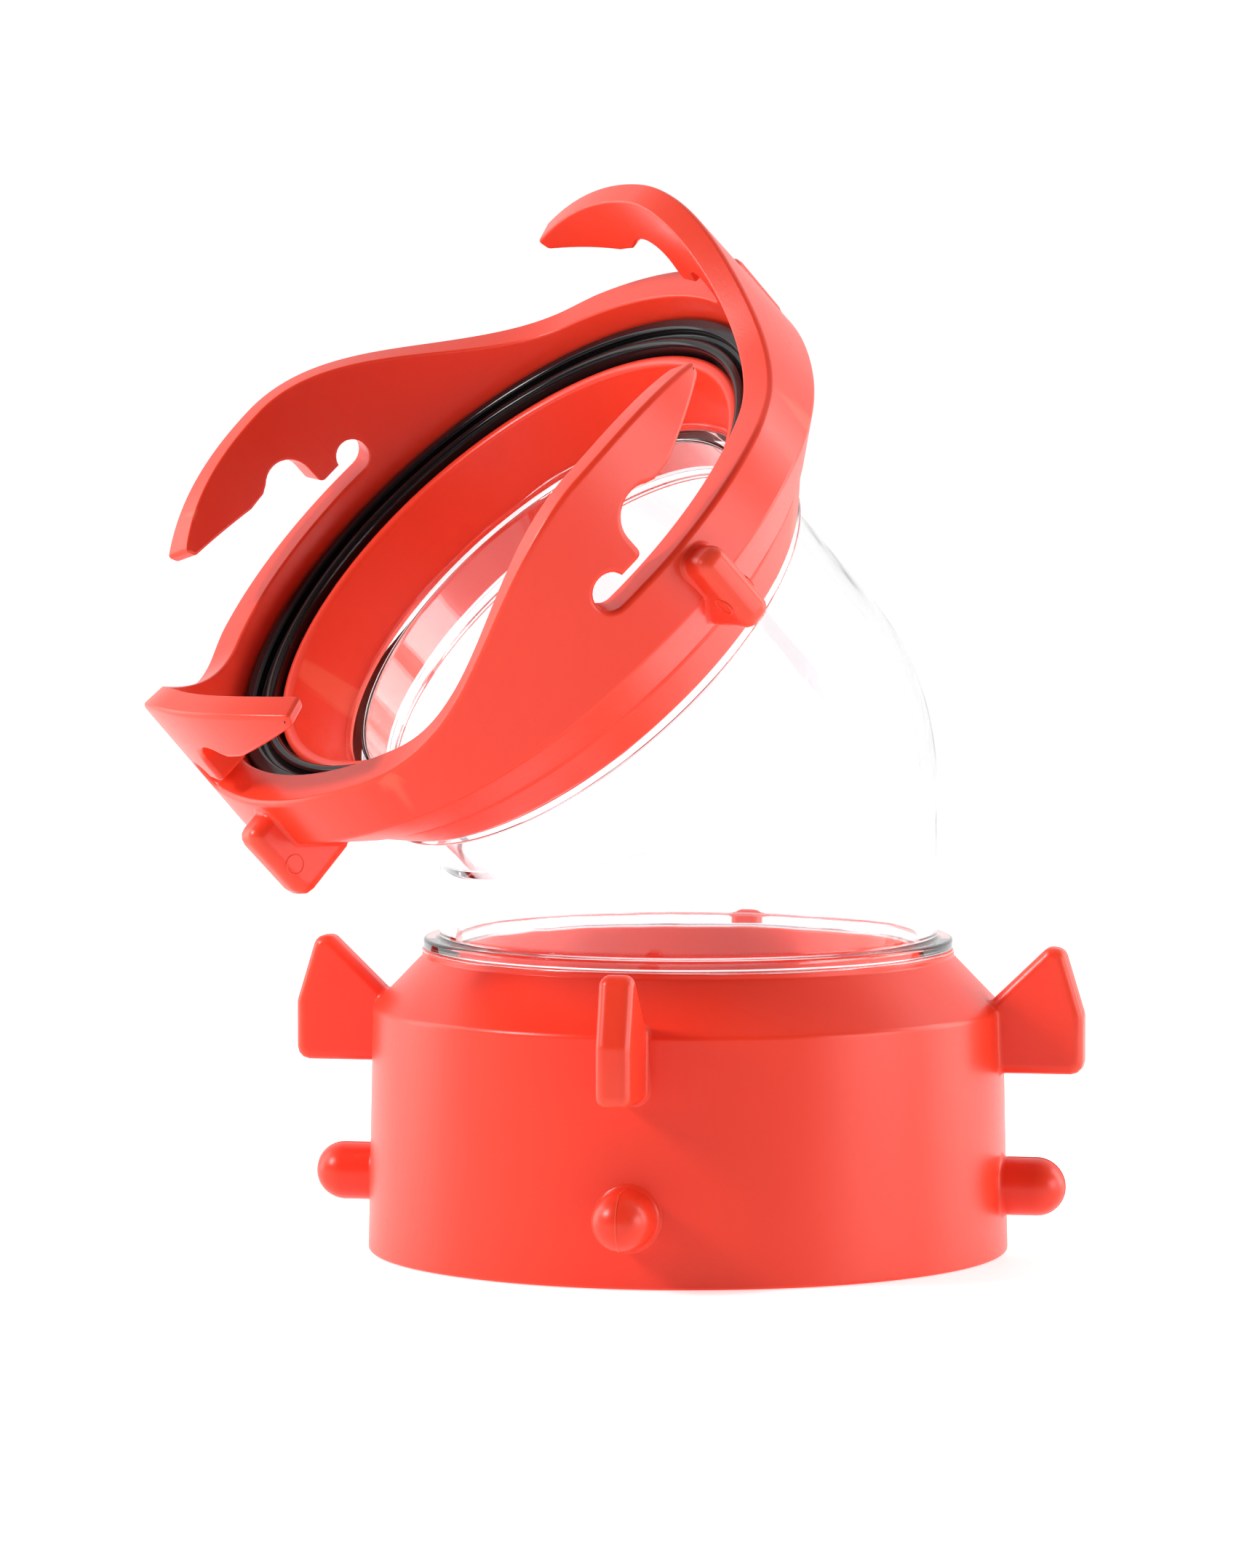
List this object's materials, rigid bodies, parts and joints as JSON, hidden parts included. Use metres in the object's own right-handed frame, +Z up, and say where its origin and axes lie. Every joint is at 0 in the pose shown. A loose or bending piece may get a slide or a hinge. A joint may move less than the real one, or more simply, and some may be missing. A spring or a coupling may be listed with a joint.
{
  "type": "waste hose elbow adapter",
  "caption": "Clear angled elbow between a pegged red collar and a red swivelling bayonet hook ring with a black face seal, for a vehicle waste hose.",
  "frame": {"origin": "under the middle of the object, on the plane of the pegged collar's end face", "axes": "+Z up along the pegged collar's axis; the bend lies in the XZ plane and the bayonet end leans towards -X at 45 degrees"},
  "size_m": [0.1408, 0.124, 0.1662],
  "materials": {
    "red_plastic": "semi-gloss vermilion moulding",
    "clear_plastic": "water-clear polished moulding",
    "black_rubber": "glossy black rubber"
  },
  "bodies": {
    "fitting": {"lug_collar": "red_plastic", "clear_elbow": "clear_plastic", "seal_hub": "red_plastic", "gasket": "black_rubber"},
    "ring": {"bayonet_ring": "red_plastic"}
  },
  "joints": [
    {"name": "ring_swivel", "type": "hinge", "parent": "fitting", "child": "ring", "pos_m": [-0.00788, 0, 0.10368], "axis": [-0.7071, 0, 0.7071], "continuous": true}
  ]
}
